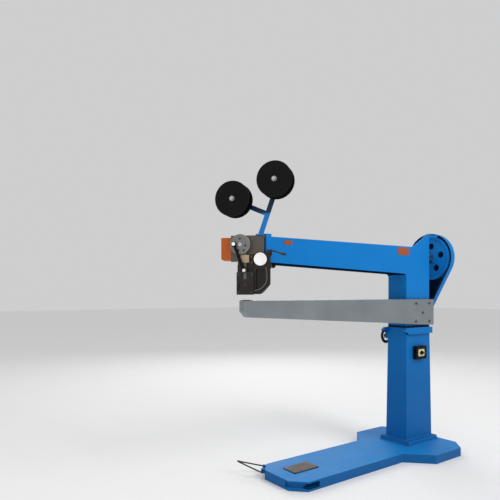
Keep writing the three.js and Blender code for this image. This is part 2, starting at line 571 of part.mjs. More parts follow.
// ---- lower arm and its height adjustment --------------------------------------------------------
function makeLowerArm() {
  const { tip, top, tipHalf, half, shoulder, rear, rearBottom } = THROAT;
  const plan = (inset, back) => [[tip + inset, -tipHalf + inset], [shoulder, -half + inset],
      [back, -half + inset],
    [back, half - inset], [shoulder, half - inset], [tip + inset, tipHalf - inset]];
  const side = [[tip, 916], [tip + 30, 886], [rear, rearBottom], [rear, top], [tip, top]];
  const sideIn = [[tip + 6, 918], [tip + 32, 892], [rear + 20, rearBottom + 6], [rear + 20, top - 6],
      [tip + 6, top - 6]];
  const shell = (outline, profile, a, b) => {
    const side = prism('y', profile, -120, 120);
    return prism('z', outline, a, b).intersect(side);
  };
  const screwAt = [[-49, 944], [91, 944], [20, 883], [-51, 829], [91, 827]];
  const ordered = (p, q) => [Math.min(p, q), Math.max(p, q)];
  const holes = [-1, 1].flatMap((s) => screwAt.map((at) => cylinder('y', 4.7, ...ordered(s * 70, s * 110),
      at, 12)));
  const shape = cut(shell(plan(0, rear), side, 700, 1100), shell(plan(6, rear + 20), sideIn, 700, 1100),
    box(shoulder + 6, rear + 30, -half + WALL, half - WALL, 700, 1100), ...holes);
  const nutBlock = cut(box(HANDWHEEL.x - 22, HANDWHEEL.x + 22, half - 1, 118, 856, 888),
    cylinder('z', 8.8, 850, 900, [HANDWHEEL.x, LIFT_SCREW_Y], 18));
  part('lower_arm', join(shape, nutBlock), GREY);
  const saddleSide = [[-122, 749], [126, 749], [126, 789], [-142, 789], [-166, 774], [-166, 766],
      [-140, 760]];
  for (const [name, s] of [['near', -1], ['far', 1]]) {
    const slab = (a, b, x0, x1, z0, z1) => box(x0, x1, ...ordered(s * a, s * b), z0, z1);
    const studs = screwAt.map((at) => cylinder('y', 4, ...ordered(s * 80, s * 94), at, 10));
    const heads = screwAt.map((at) => cylinder('y', 7.5, ...ordered(s * 92.3, s * 97), at, 12));
    part(`arm_screws_${name}`, join(slab(79, 83.7, -66, 108, 812, 960), ...studs, ...heads), STEEL);
    const rail = prism('y', saddleSide, Math.min(s * 72.2, s * 92), Math.max(s * 72.2, s * 92));
    part(`saddle_${name}`, rail, BLUE);
  }
  const clincher = join(box(tip + 4, tip + 52, -19, 19, top + GAP, top + 3),
      box(tip + 12, tip + 40, -12, 12, top + 2, top + 4.5));
  part('clincher', cut(clincher, box(tip + 22, tip + 30, -7, 7, top + 3.2, top + 6)), DARK);
}

function makeHeightScrew() {
  const { x, y, z, r } = HANDWHEEL;
  const screwY = LIFT_SCREW_Y;
  part('lift_screw', join(cylinder('z', 8, 747.2, 910, [x, screwY], 16),
      cylinder('z', 13, 747.2, 755, [x, screwY], 6)), STEEL);
  const boxBore = cylinder('y', 8.7, 70, 130, [x, z], 16);
  part('lift_gearbox', cut(box(x - 20, x + 20, 73.2, 122, z - 18, z + 20.5), boxBore), BLUE);
  const rim = new THREE.TorusGeometry(r - 7, 7, 6, 18);
  rim.rotateX(Math.PI / 2).translate(x, y, z);
  const spokes = [0, 1, 2].map((i) => {
    const spoke = new THREE.BoxGeometry(r - 8, 6, 9).translate((r - 8) / 2, 0, 0);
    spoke.rotateY((i * 2 * Math.PI) / 3 + 0.5);
    return toSolid(spoke.translate(x, y, z));
  });
  const axle = cylinder('y', 8, 74, y + 8, [x, z], 16);
  part('handwheel', join(toSolid(rim), ...spokes, cylinder('y', 14, y - 9, y + 11, [x, z], 18), axle), BLACK);
}

// ---- switch and plates on the near side ---------------------------------------------------------
function makeSwitchAndPlates() {
  const face = -73.9;
  const dial = [-8, 628];
  const housing = cut(box(-58, 50, face - 26, face, 587, 670),
      cylinder('y', 6.6, face - 40, face - 10, dial, 16));
  part('switch_housing', housing, BLACK);
  const platePlan = [[-34, 606], [18, 606], [24, 612], [24, 645], [18, 651], [-34, 651], [-40, 645],
      [-40, 612]];
  const plate = prism('y', platePlan, face - 28.4, face - 26.3);
  part('switch_plate', cut(plate, cylinder('y', 7, face - 40, face - 10, dial, 16)), CREAM);
  const grip = box(dial[0] - 20, dial[0] + 20, face - 44, face - 33, dial[1] - 5.5, dial[1] + 5.5);
  const neck = cylinder('y', 5.6, face - 40, face - 12, dial, 16);
  part('switch_knob', join(neck, cylinder('y', 13, face - 34, face - 29, dial, 28), grip), BLACK);
  const plates = [['front', -1129, -1076, 1258, 1281], ['rear', -206, -98, 1249, 1296]];
  for (const [name, x0, x1, z0, z1] of plates) {
    const rivets = [[x0 + 4, z0 + 4], [x1 - 4, z1 - 4]].map((at) => cylinder('y', 1.6, -73, -71.5, at, 8));
    part(`info_plate_${name}`, join(box(x0, x1, -72, -COLUMN.y - GAP, z0, z1), ...rivets), ORANGE);
  }
}

makeBase();
makePedal();
makeTreadle();
makeColumn();
makeUpperFrame();
makeDrive();
makeBeltGuard();
makeMotor();
makeClutchLever();
makeGearHousing();
makeCrank();
makeRodAndRam();
makeHeadBody();
makeWireStand();
makeLowerArm();
makeHeightScrew();
makeSwitchAndPlates();

export default machine;
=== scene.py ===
"""Long-arm wire stitching machine: materials, fine detail, floor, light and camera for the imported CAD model.

Metres, in the CAD model's own frame: the arms point along -X, the operator's side is -Y, and +Z is up.
"""
import json
import math
import random

import bmesh
import bpy
from mathutils import Matrix, Vector


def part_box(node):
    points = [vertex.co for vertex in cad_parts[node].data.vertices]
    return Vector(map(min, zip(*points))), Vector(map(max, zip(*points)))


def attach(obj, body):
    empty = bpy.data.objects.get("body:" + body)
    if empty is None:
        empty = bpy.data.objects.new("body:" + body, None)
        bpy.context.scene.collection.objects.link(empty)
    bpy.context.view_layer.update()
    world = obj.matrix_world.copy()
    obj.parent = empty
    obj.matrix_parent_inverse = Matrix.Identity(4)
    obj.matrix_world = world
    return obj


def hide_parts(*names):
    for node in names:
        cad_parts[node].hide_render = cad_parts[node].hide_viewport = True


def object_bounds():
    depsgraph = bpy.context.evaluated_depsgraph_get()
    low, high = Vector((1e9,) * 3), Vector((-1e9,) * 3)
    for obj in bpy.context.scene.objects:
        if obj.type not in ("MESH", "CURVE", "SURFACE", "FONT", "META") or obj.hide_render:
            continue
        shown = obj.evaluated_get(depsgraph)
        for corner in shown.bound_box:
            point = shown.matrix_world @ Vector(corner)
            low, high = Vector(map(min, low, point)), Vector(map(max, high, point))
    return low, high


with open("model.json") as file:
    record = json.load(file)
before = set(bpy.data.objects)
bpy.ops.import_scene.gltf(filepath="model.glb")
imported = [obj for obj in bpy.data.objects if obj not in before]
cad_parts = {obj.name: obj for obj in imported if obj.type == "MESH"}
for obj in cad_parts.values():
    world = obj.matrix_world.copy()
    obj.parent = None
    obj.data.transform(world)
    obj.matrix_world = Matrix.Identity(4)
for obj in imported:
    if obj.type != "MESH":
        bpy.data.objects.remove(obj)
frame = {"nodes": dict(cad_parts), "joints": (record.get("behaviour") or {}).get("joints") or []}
cad_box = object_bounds()
nodes = frame["nodes"]
joints = {j["name"]: j for j in frame["joints"]}
MM = 0.001


# ---- materials --------------------------------------------------------------------------------------
def node_at(tree, kind, **values):
    """A shader node with its inputs set by name."""
    node = tree.nodes.new(kind)
    for name, value in values.items():
        node.inputs[name.replace("_", " ")].default_value = value
    return node


def noise(tree, coords, scale, detail=4.0, stretch=(1, 1, 1)):
    mapping = node_at(tree, "ShaderNodeMapping", Scale=stretch)
    tree.links.new(coords, mapping.inputs["Vector"])
    node = node_at(tree, "ShaderNodeTexNoise", Scale=scale, Detail=detail, Roughness=0.6)
    tree.links.new(mapping.outputs["Vector"], node.inputs["Vector"])
    return node.outputs["Fac"]


def spread(tree, value, low, high, to_low=0.0, to_high=1.0):
    node = node_at(tree, "ShaderNodeMapRange", From_Min=low, From_Max=high, To_Min=to_low, To_Max=to_high)
    tree.links.new(value, node.inputs["Value"])
    return node.outputs["Result"]


def mixed(tree, factor, a, b):
    """Colour a where factor is 0, and b where it is 1. Either may be a colour or a socket."""
    node = tree.nodes.new("ShaderNodeMix")
    node.data_type = "RGBA"
    for socket, value in ((node.inputs[6], a), (node.inputs[7], b)):
        if isinstance(value, tuple):
            socket.default_value = (*value, 1)
        else:
            tree.links.new(value, socket)
    if isinstance(factor, float):
        node.inputs[0].default_value = factor
    else:
        tree.links.new(factor, node.inputs[0])
    return node.outputs[2]


def z_of(tree, vector):
    """The height part of a vector socket."""
    node = tree.nodes.new("ShaderNodeSeparateXYZ")
    tree.links.new(vector, node.inputs[0])
    return node.outputs["Z"]


def product(tree, a, b, operation="MULTIPLY"):
    node = tree.nodes.new("ShaderNodeMath")
    node.operation = operation
    for socket, value in zip(node.inputs, (a, b)):
        if isinstance(value, float):
            socket.default_value = value
        else:
            tree.links.new(value, socket)
    return node.outputs[0]


def shade(colour, k):
    return tuple(min(1.0, c * k) for c in colour)


DUST_RGB = (0.33, 0.31, 0.28)
# Painted shadow colour for the dark band where the lower arm shades the column above its saddle.
SHADOW_BAND_RGB = (0.002, 0.006, 0.015)
SHADE_RGB = (0.003, 0.02, 0.06)


def finish(name, colour, rough, metal=0.0, vary=0.12, grain=900.0, bump=0.15, stretch=(1, 1, 1), chips=None,
           chip_at=0.66, coat=0.0, dust=0.0, specular=0.5, under=None, sides=None, lower=None, band=None,
           dark_above=None):
    """A procedural finish: broad tone changes, fine grain, smudges in the gloss, and chips in the paint.

    `under` and `sides` paint shade on faces by the way they face. `lower` paints shade that darkens the foot
    of tall pieces.
    `band` is a painted shadow stripe between two heights, and everything over `dark_above` is painted dark as
    shade.
    """
    material = bpy.data.materials.new(name)
    material.use_nodes = True
    tree = material.node_tree
    shader = tree.nodes["Principled BSDF"]
    coords = tree.nodes.new("ShaderNodeTexCoord").outputs["Object"]
    broad = spread(tree, noise(tree, coords, 4.5, 5.0), 0.3, 0.7)
    fine = spread(tree, noise(tree, coords, grain * 0.12, 6.0, stretch), 0.35, 0.65)
    tone = mixed(tree, broad, shade(colour, 1 - vary), shade(colour, 1 + vary))
    tone = mixed(tree, product(tree, fine, vary * 0.9), tone, shade(colour, 0.55))
    if dust:
        near_floor = spread(tree, z_of(tree, coords), 0.0, 0.45, 1.0, 0.0)
        patchy = spread(tree, noise(tree, coords, 14.0, 6.0), 0.4, 0.72)
        tone = mixed(tree, product(tree, product(tree, near_floor, patchy), dust), tone, DUST_RGB)
    # Painted shade: darker towards the foot.
    if lower:
        tone = mixed(tree, spread(tree, z_of(tree, coords), 1.05, 0.45), tone, lower)
    # Painted shadow: a dark stripe between two heights.
    if band:
        above = spread(tree, z_of(tree, coords), band[0] - 0.001, band[0] + 0.001)
        below = spread(tree, z_of(tree, coords), band[1] - 0.001, band[1] + 0.001, 1.0, 0.0)
        tone = mixed(tree, product(tree, above, below), tone, SHADOW_BAND_RGB)
    if under or sides:
        facing = z_of(tree, tree.nodes.new("ShaderNodeNewGeometry").outputs["Normal"])
        # Painted shade: upright faces turn darker.
        if sides:
            tone = mixed(tree, spread(tree, facing, 0.6, 0.2), tone, sides)
        # Painted shade: faces that point down turn dark and lose their reflection.
        if under:
            tone = mixed(tree, spread(tree, facing, -0.45, -0.8), tone, under)
            gloss = spread(tree, facing, -0.45, -0.8, specular, 0.0)
            tree.links.new(gloss, shader.inputs["Specular IOR Level"])
    # Painted shade: everything above this height turns dark.
    if dark_above:
        upper = spread(tree, z_of(tree, coords), dark_above - 0.004, dark_above + 0.006)
        tone = mixed(tree, upper, tone, SHADE_RGB)
    if chips:
        mask = spread(tree, noise(tree, coords, 26.0, 9.0), chip_at, chip_at + 0.02)
        tone = mixed(tree, mask, tone, chips)
    tree.links.new(tone, shader.inputs["Base Color"])
    smudge = noise(tree, coords, 9.0, 7.0)
    dull = spread(tree, smudge, 0.3, 0.7, max(0.05, rough - 0.09), min(1.0, rough + 0.1))
    tree.links.new(dull, shader.inputs["Roughness"])
    relief = node_at(tree, "ShaderNodeBump", Strength=bump, Distance=0.0006)
    tree.links.new(noise(tree, coords, grain, 3.0, stretch), relief.inputs["Height"])
    tree.links.new(relief.outputs["Normal"], shader.inputs["Normal"])
    shader.inputs["Metallic"].default_value = metal
    shader.inputs["Coat Weight"].default_value = coat
    shader.inputs["Coat Roughness"].default_value = 0.25
    shader.inputs["Specular IOR Level"].default_value = specular
    return material


BLUE_RGB = (0.001, 0.185, 0.56)
BARE = (0.30, 0.29, 0.27)
STAND_FORK = 1.405                      # height where the spool stand forks
SADDLE_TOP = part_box("saddle_near")[1].z
# CASTING paints shade: `under` darkens faces that point down and `lower` darkens the foot of tall pieces.
CASTING = {"vary": 0.06, "grain": 420, "bump": 0.12, "dust": 0.02, "specular": 0.12,
           "under": (0.002, 0.012, 0.035), "lower": (0.001, 0.118, 0.375)}
M = {
    "blue": finish("blue_enamel", BLUE_RGB, 0.5, **CASTING),
    # The column's painted shadow band sits just above the saddles.
    "blue_column": finish("column_enamel", BLUE_RGB, 0.5, band=(SADDLE_TOP, SADDLE_TOP + 0.014), **CASTING),
    "skirt_shade": finish("skirt_shade", (0.001, 0.025, 0.08), 0.8, vary=0.2, grain=380, specular=0.0),
    "blue_edge": finish("blue_enamel_edge", (0.004, 0.22, 0.60), 0.5, vary=0.12, chips=BARE, chip_at=0.68,
            grain=420, specular=0.3),
    # The base's upright faces get a painted shade through `sides`.
    "blue_base": finish("blue_floor_enamel", (0.004, 0.205, 0.56), 0.5, vary=0.07, grain=380, bump=0.16,
            dust=0.05,
                        chips=(0.10, 0.12, 0.15), chip_at=0.76, specular=0.2, sides=(0.001, 0.10, 0.31)),
    # The spool stand is painted dark above its fork, as shade behind the spools.
    "blue_stand": finish("stand_enamel", BLUE_RGB, 0.5, vary=0.08, grain=420, specular=0.25,
            dark_above=STAND_FORK),
    "wheel_blue": finish("wheel_enamel", (0.002, 0.20, 0.60), 0.5, vary=0.12, grain=420, bump=0.2,
            specular=0.15),
    "guard_inside": finish("guard_inside", (0.002, 0.014, 0.036), 0.8, vary=0.2, grain=420, specular=0.0),
    "grey": finish("arm_grey", (0.225, 0.252, 0.272), 0.4, metal=0.5, vary=0.1, grain=700, bump=0.12,
            stretch=(0.12, 1, 1)),
    "grey_edge": finish("arm_grey_edge", (0.42, 0.43, 0.43), 0.34, metal=0.8, vary=0.15),
    "orange": finish("orange_enamel", (0.47, 0.095, 0.012), 0.5, vary=0.12, grain=500, chips=BARE,
            chip_at=0.74, specular=0.25),
    "orange_edge": finish("orange_enamel_edge", (0.52, 0.2, 0.08), 0.5, vary=0.2, chips=BARE, chip_at=0.55),
    "dark": finish("oiled_iron", (0.026, 0.022, 0.02), 0.4, metal=0.7, vary=0.3, grain=340, bump=0.35),
    "dark_edge": finish("oiled_iron_edge", (0.14, 0.13, 0.12), 0.34, metal=0.9, vary=0.3),
    "brown": finish("housing_iron", (0.095, 0.08, 0.07), 0.5, metal=0.45, vary=0.2, grain=300, bump=0.4),
    "steel": finish("turned_steel", (0.36, 0.355, 0.34), 0.3, metal=1.0, vary=0.12, grain=800,
            stretch=(1, 1, 0.15)),
    "bright": finish("polished_steel", (0.66, 0.66, 0.64), 0.18, metal=1.0, vary=0.06, grain=900, bump=0.05),
    "disc": finish("ground_disc", (0.16, 0.16, 0.158), 0.5, metal=0.3, vary=0.15, grain=700),
    "bronze": finish("guide_bronze", (0.40, 0.31, 0.19), 0.4, metal=0.7, vary=0.15, grain=500),
    "wire": finish("wound_wire", (0.42, 0.39, 0.33), 0.35, metal=1.0, vary=0.2, grain=900),
    "plastic": finish("black_plastic", (0.003, 0.003, 0.0033), 0.55, vary=0.3, grain=1100, bump=0.2,
            specular=0.12),
    "black": finish("black_enamel", (0.013, 0.012, 0.012), 0.4, metal=0.1, vary=0.3, grain=500,
            chips=(0.09, 0.085, 0.08)),
    "rubber": finish("belt_rubber", (0.014, 0.013, 0.013), 0.75, vary=0.35, grain=1200, bump=0.4),
    "white": finish("white_enamel", (0.95, 0.94, 0.92), 0.5, vary=0.02, grain=500, bump=0.04),
    "cream": finish("cream_plastic", (0.66, 0.60, 0.36), 0.35, vary=0.05, grain=900, bump=0.06),
    "label": finish("plate_orange", (0.33, 0.075, 0.02), 0.5, vary=0.12, grain=600, bump=0.1, specular=0.3),
    "tread": finish("tread_plate", (0.165, 0.14, 0.135), 0.75, vary=0.2, grain=420, bump=0.5, dust=0.2,
            specular=0.2),
    "rust_bolt": finish("bolt_brown", (0.22, 0.085, 0.05), 0.5, metal=0.6, vary=0.3, grain=500),
    "weld": finish("weld_blue", shade(BLUE_RGB, 0.8), 0.5, vary=0.2, grain=300, bump=0.5),
}


# ---- the CAD nodes that carry over ------------------------------------------------------------------
def dress(name, material, edge=None, bevel=1.2):
    """Gives a CAD node its finish, rounded edges of `bevel` mm, and worn paint along them."""
    piece = nodes[name]
    piece.data.materials.clear()
    piece.data.materials.append(M[material])
    if edge:
        piece.data.materials.append(M[edge])
    soften(piece, bevel, 1 if edge else -1)


def soften(piece, bevel, edge_slot=-1, angle=32):
    custom = piece.data.attributes.get("custom_normal")
    if custom:
        piece.data.attributes.remove(custom)
    for face in piece.data.polygons:
        face.use_smooth = True
    weld = piece.modifiers.new("weld", "WELD")
    weld.merge_threshold = 0.00002
    if bevel:
        rounding = piece.modifiers.new("rounding", "BEVEL")
        rounding.width = bevel * MM
        rounding.segments = 2
        rounding.limit_method = "ANGLE"
        rounding.angle_limit = math.radians(angle)
        rounding.material = edge_slot
        rounding.harden_normals = True
    else:
        split = piece.modifiers.new("split", "EDGE_SPLIT")
        split.split_angle = math.radians(angle)


def darken_guard_inside():
    """The guard's inner walls, which face its middle, are painted dark as shade."""
    guard = nodes["belt_guard"]
    guard.data.materials.append(M["guard_inside"])
    (x0, y0, z0), (x1, y1, z1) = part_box("belt_guard")
    middle = Vector(((x0 + x1) / 2, (y0 + y1) / 2, (z0 + z1) / 2))
    for face in guard.data.polygons:
        centre = guard.matrix_world @ face.center
        normal = guard.matrix_world.to_3x3() @ face.normal
        if normal.dot(centre - middle) < 0:
            face.material_index = 2


def darken_skirt():
    """Painted shade in the deep end of the relief under the base's near front corner."""
    base = nodes["base_casting"]
    base.data.materials.append(M["skirt_shade"])
    low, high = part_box("base_casting")
    for face in base.data.polygons:
        levels = [base.data.vertices[k].co.z for k in face.vertices]
        deep = low.z + 0.0105 < min(levels) and max(levels) < high.z - 0.0085
        if deep and face.center.y < -0.1 and face.center.x > low.x + 0.07:
            face.material_index = 2


for name in ("column_foot", "upper_frame", "arm_end_flange", "saddle_near", "saddle_far",
             "lift_gearbox", "column_rear_cover", "motor_bracket", "belt_guard", "treadle_bracket"):
    dress(name, "blue", "blue_edge", 1.6 if name == "upper_frame" else 0.8)
darken_guard_inside()
dress("lower_column", "blue_column", "blue_edge", 1.6)
dress("base_casting", "blue_base", "blue_edge", 0.8)
darken_skirt()
dress("motor", "wheel_blue", None, 0.8)
dress("spool_bracket", "blue_stand", "blue_stand", 0.8)
dress("lower_arm", "grey", "grey_edge", 1.5)
dress("side_guard", "orange", "orange_edge", 1.2)
for name in ("head_body", "front_plate", "feed_plate", "clincher"):
    dress(name, "dark", "dark_edge", 0.8)
dress("gear_housing", "brown", "dark_edge", 1.4)
for name in ("main_shaft", "clutch_hub", "crank_shaft", "rear_bearing", "front_bearing", "motor_pulley",
             "clutch_lever", "lift_screw", "pedal_hinge", "spindle_right", "spindle_left",
             "drive_bevel_gear", "crank_bevel_gear"):
    dress(name, "steel", None, 0.4)
for name in ("crank_pin", "ram_pin"):
    dress(name, "bright", None, 0.4)
for name in ("ram_bar", "wire_guide", "arm_screws_near", "arm_screws_far"):
    dress(name, "dark_edge", None, 0.4)
dress("ram_guide", "bronze", None, 0.8)
for name in ("cable_gland", "switch_housing"):
    dress(name, "plastic", None, 1.5)
dress("switch_plate", "cream", None, 0.5)
dress("connecting_rod", "plastic", None, 0.8)
for name in ("feed_lever", "treadle_bail"):
    dress(name, "black", None, 0.8)
dress("v_belt", "rubber", None, 0)
for name in ("info_plate_front", "info_plate_rear"):
    dress(name, "label", None, 0.4)
dress("pedal_plate", "tread", "dark_edge", 1.0)


# ---- mesh helpers -----------------------------------------------------------------------------------
def at_joint(name):
    """A frame on a hinge: local Y along its axis, local Z up, local X to the right."""
    joint = joints[name]
    along = Vector(joint["axis"]).normalized()
    up = Vector((0, 0, 1))
    across = along.cross(up).normalized()
    matrix = Matrix((across, along, across.cross(along))).transposed().to_4x4()
    matrix.translation = Vector(joint["pos_m"])
    return matrix


def lathe(mesh, profile, segments=96, at=Matrix.Identity(4), slot=0):
    """Adds a ring turned about local Y from (radius, along) pairs in mm that close on themselves."""
    rings = []
    for i in range(segments):
        angle = 2 * math.pi * i / segments
        ways = (math.cos(angle), math.sin(angle))
        points = [Vector((r * MM * ways[0], y * MM, r * MM * ways[1])) for r, y in profile]
        rings.append([mesh.verts.new(at @ point) for point in points])
    for i, ring in enumerate(rings):
        following = rings[(i + 1) % segments]
        for k in range(len(profile)):
            m = (k + 1) % len(profile)
            face = mesh.faces.new((ring[k], ring[m], following[m], following[k]))
            face.material_index = slot
            face.smooth = True


def block(mesh, low, high, at=Matrix.Identity(4), slot=0, chamfer=0.0):
    """Adds a box between two corners in mm, with its edges cut back by `chamfer`."""
    made = bmesh.ops.create_cube(mesh, size=1.0)["verts"]
    for vert in made:
        vert.co = at @ Vector([MM * (a + (c + 0.5) * (b - a)) for c, a, b in zip(vert.co, low, high)])
    faces = {face for vert in made for face in vert.link_faces}
    for face in faces:
        face.material_index = slot
    if chamfer:
        edges = {edge for vert in made for edge in vert.link_edges}
        bmesh.ops.bevel(mesh, geom=list(edges), offset=chamfer * MM, segments=2, affect="EDGES", profile=0.6)


def hex_head(mesh, at, radius, height, slot=0):
    """Adds a washer and a chamfered hexagon head that stands along local -Y, sizes in mm."""
    lathe(mesh, [(0.01, 0), (radius * 1.25, 0), (radius * 1.3, -0.5), (radius * 1.25, -1.2), (0.01, -1.2)],
            24, at, slot)
    turn = Matrix.Rotation(math.radians(15), 4, "Y")
    lathe(mesh, [(0.01, -1.1), (radius, -1.1), (radius, 0.8 - height), (radius * 0.86, -height),
            (0.01, -height)],
          6, at @ turn, slot)


def tube(mesh, points, radius, sides=10, slot=0):
    """Adds a round bar through points in metres, with flat ends."""
    rings = []
    for i, point in enumerate(points):
        ahead = (points[min(i + 1, len(points) - 1)] - points[max(i - 1, 0)]).normalized()
        side = ahead.cross(Vector((0, 0, 1)) if abs(ahead.z) < 0.9 else Vector((1, 0, 0))).normalized()
        up = side.cross(ahead)
        width = radius[i] if isinstance(radius, list) else radius
        rings.append([mesh.verts.new(point + width * MM * (math.cos(a) * side + math.sin(a) * up))
                      for a in (2 * math.pi * k / sides for k in range(sides))])
    for a, b in zip(rings, rings[1:]):
        for k in range(sides):
            face = mesh.faces.new((a[k], b[k], b[(k + 1) % sides], a[(k + 1) % sides]))
            face.smooth = True
            face.material_index = slot
    for ring, order in ((rings[0], 1), (rings[-1], -1)):
        mesh.faces.new(ring[::order]).material_index = slot


def piece_from(mesh, name, body, materials, replaces=(), bevel=0.0, angle=32):
    bmesh.ops.recalc_face_normals(mesh, faces=mesh.faces)
    data = bpy.data.meshes.new(name)
    mesh.to_mesh(data)
    mesh.free()
    piece = bpy.data.objects.new(name, data)
    bpy.context.scene.collection.objects.link(piece)
    for key in materials:
        data.materials.append(M[key])
    soften(piece, bevel, angle=angle)
    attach(piece, body)
    if replaces:
        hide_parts(*replaces)
    return piece


def span(node):
    """A CAD node's corners in mm."""
    low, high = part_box(node)
    return [c / MM for c in low], [c / MM for c in high]


# ---- wire spools ------------------------------------------------------------------------------------
def local_box(node, at):
    """A CAD node's corners in mm, measured along a frame's own axes."""
    back = at.inverted()
    points = [back @ vertex.co for vertex in nodes[node].data.vertices]
    low = [min(p[k] for p in points) / MM for k in range(3)]
    high = [max(p[k] for p in points) / MM for k in range(3)]
    return low, high


def spool(side):
    """Two ribbed flanges on a drum that is wound with stitching wire, round a small grey hub ring."""
    at = at_joint(f"spool_{side}_spin")
    low, high = local_box(f"spool_{side}", at)
    radius, front, back = high[0], low[1] + 3, high[1]
    mesh = bmesh.new()
    for outer, inner in ((front, front + 4.5), (back, back - 4.5)):
        lip = math.copysign(1.0, outer - inner)
        ridge = ((0, 0), (1.2, 0.5), (2.6, 0.5), (3.8, 0))
        ridges = [(r0 + step, outer + lip * h) for r0 in (30, 40, 50, 60, 70) for step, h in ridge]
        edge = [(radius - 4, outer), (radius - 3, outer + lip * 0.8), (radius - 1, outer + lip * 0.8)]
        flange = [(radius, outer), (radius, inner), (47, inner), (20, inner), (20, outer)]
        lathe(mesh, flange + ridges + edge, 120, at)
    turns = 19
    pitch = (back - front - 16) / (turns - 1)
    wound = []
    for k in range(turns):
        y = front + 8 + k * pitch
        wound += [(66.0, y - 1.4), (67.3, y - 0.5), (67.3, y + 0.5)]
    lathe(mesh, [(46, front + 4.8)] + wound + [(46, back - 4.8)], 96, at, 1)
    lathe(mesh, [(6.9, front - 1), (17, front - 1), (22, front + 0.5), (22, back), (6.9, back)], 72, at)
    lathe(mesh, [(7.0, front - 1.5), (8, front - 3), (12, front - 3), (13, front - 1.5), (13, front - 0.5),
            (7.0, front - 0.5)], 48, at, 2)
    for k in range(12):
        rib = at @ Matrix.Rotation(2 * math.pi * k / 12, 4, "Y")
        block(mesh, (24, front - 0.7, -0.8), (radius - 6, front + 0.4, 0.8), rib)
        block(mesh, (24, back - 0.4, -0.8), (radius - 6, back + 0.7, 0.8), rib)
    piece_from(mesh, f"wire_spool_{side}", f"spool_{side}", ("plastic", "wire", "hub_grey"),
               (f"spool_{side}",), angle=40)


M["hub_grey"] = finish("hub_grey", (0.30, 0.30, 0.30), 0.45, vary=0.1, grain=800)
spool("right")
spool("left")


# ---- flywheel, handwheel and the head's discs ---------------------------------------------------------
def grooved_wheel():
    """The flywheel: a V-grooved rim, a web with five round holes, and a bossed hub."""
    (x0, _, z0), (x1, _, z1) = span("flywheel")
    belt_r = (z1 - z0) / 2
    at = Matrix.Translation(Vector((0, 0, 0))) @ Matrix.Rotation(-math.pi / 2, 4, "Z")
    at.translation = Vector((0, 0, joints["flywheel_spin"]["pos_m"][2]))
    face, back = x0 + 8, x1 - 8
    mid = (face + back) / 2 + 2
    web = 131
    front_side = [(15.7, x0), (40, x0), (42, x0 + 2), (42, face + 8), (46, face + 10), (web - 7, face + 10),
                  (web - 2, face + 4), (web, face), (belt_r - 1.5, face), (belt_r, face + 1.5)]
    groove = [(belt_r, mid - 9), (belt_r - 11, mid - 4.2), (belt_r - 11, mid + 4.2), (belt_r, mid + 9)]
    back_side = [(belt_r, back - 1.5), (belt_r - 1.5, back), (web, back), (web - 3, back - 6), (46, back - 6),
                 (42, back - 4), (40, x1), (15.7, x1)]
    profile = front_side + groove + back_side
    mesh = bmesh.new()
    lathe(mesh, profile, 144, at)
    wheel = piece_from(mesh, "flywheel_rim", "flywheel", ("wheel_blue",), ("flywheel",))
    return wheel, at, (face, back)


def carve(piece, mesh, name):
    """Cuts another closed mesh out of a piece, for good."""
    bmesh.ops.recalc_face_normals(mesh, faces=mesh.faces)
    data = bpy.data.meshes.new(name)
    mesh.to_mesh(data)
    mesh.free()
    tool = bpy.data.objects.new(name, data)
    bpy.context.scene.collection.objects.link(tool)
    cut = piece.modifiers.new("cut", "BOOLEAN")
    cut.object = tool
    cut.operation = "DIFFERENCE"
    cut.solver = "EXACT"
    piece.modifiers.move(len(piece.modifiers) - 1, 0)
    bpy.context.view_layer.update()
    shape = bpy.data.meshes.new_from_object(piece.evaluated_get(bpy.context.evaluated_depsgraph_get()))
    piece.modifiers.clear()
    piece.data = shape
    bpy.data.objects.remove(tool)
    soften(piece, 0)


def flywheel():
    wheel, at, (face, back) = grooved_wheel()
    mesh = bmesh.new()
    for k in range(5):
        angle = math.radians(93) + 2 * math.pi * k / 5
        hole = at @ Matrix.Translation(Vector((-80 * MM * math.cos(angle), 0, 80 * MM * math.sin(angle))))
        lathe(mesh, [(0.01, face - 30), (22, face - 30), (22, back + 30), (0.01, back + 30)], 40, hole)
    carve(wheel, mesh, "wheel_holes")


flywheel()


def handwheel():
    at = at_joint("handwheel_turn")
    mesh = bmesh.new()
    ring = [(42.5 + 10.4 * math.cos(a), 6.8 * math.sin(a)) for a in (2 * math.pi * k / 16 for k in range(16))]
    lathe(mesh, ring, 72, at)
    lathe(mesh, [(0.01, -61), (8, -61), (8, -9), (12, -9), (14, -7), (14, 9), (12, 11), (0.01, 11)], 40, at)
    for k in range(3):
        spoke = at @ Matrix.Rotation(2 * math.pi * k / 3 + 0.5, 4, "Y")
        tube(mesh, [spoke @ Vector((x * MM, 0, 0)) for x in (10, 24, 42)], [5.2, 4.0, 3.4], 12, 1)
    piece_from(mesh, "lift_handwheel", "handwheel", ("black", "hub_grey"), ("handwheel",),
            angle=40)


handwheel()


M["disc_rim"] = finish("disc_rim", (0.24, 0.24, 0.235), 0.42, metal=0.6, vary=0.12, grain=700)


def crank_face():
    """The crank disc, with its turned face, bright rim and four small blind holes."""
    at = at_joint("crank_spin")
    mesh = bmesh.new()
    lathe(mesh, [(10.5, -3), (48, -3), (50, -5), (50, -13), (48, -15), (10.5, -15)], 96, at)
    lathe(mesh, [(49, -4), (50.6, -5), (50.6, -13), (49, -14)], 96, at, 1)
    for r in (18, 34, 43):
        lathe(mesh, [(r, -14.5), (r, -15.5), (r + 1.4, -15.5), (r + 1.4, -14.5)], 72, at, 1)
    for x, z in ((0, 29), (27, -6), (19, -30), (-7, -30)):
        pit = at @ Matrix.Translation(Vector((x * MM, 0, z * MM)))
        lathe(mesh, [(0.01, -15.3), (3.6, -15.3), (4.4, -15.9), (3.6, -15.7), (0.01, -15.7)], 20, pit, 2)
    piece_from(mesh, "crank_disc_face", "crank", ("disc", "disc_rim", "plastic"),
            ("crank_disc",), angle=40)


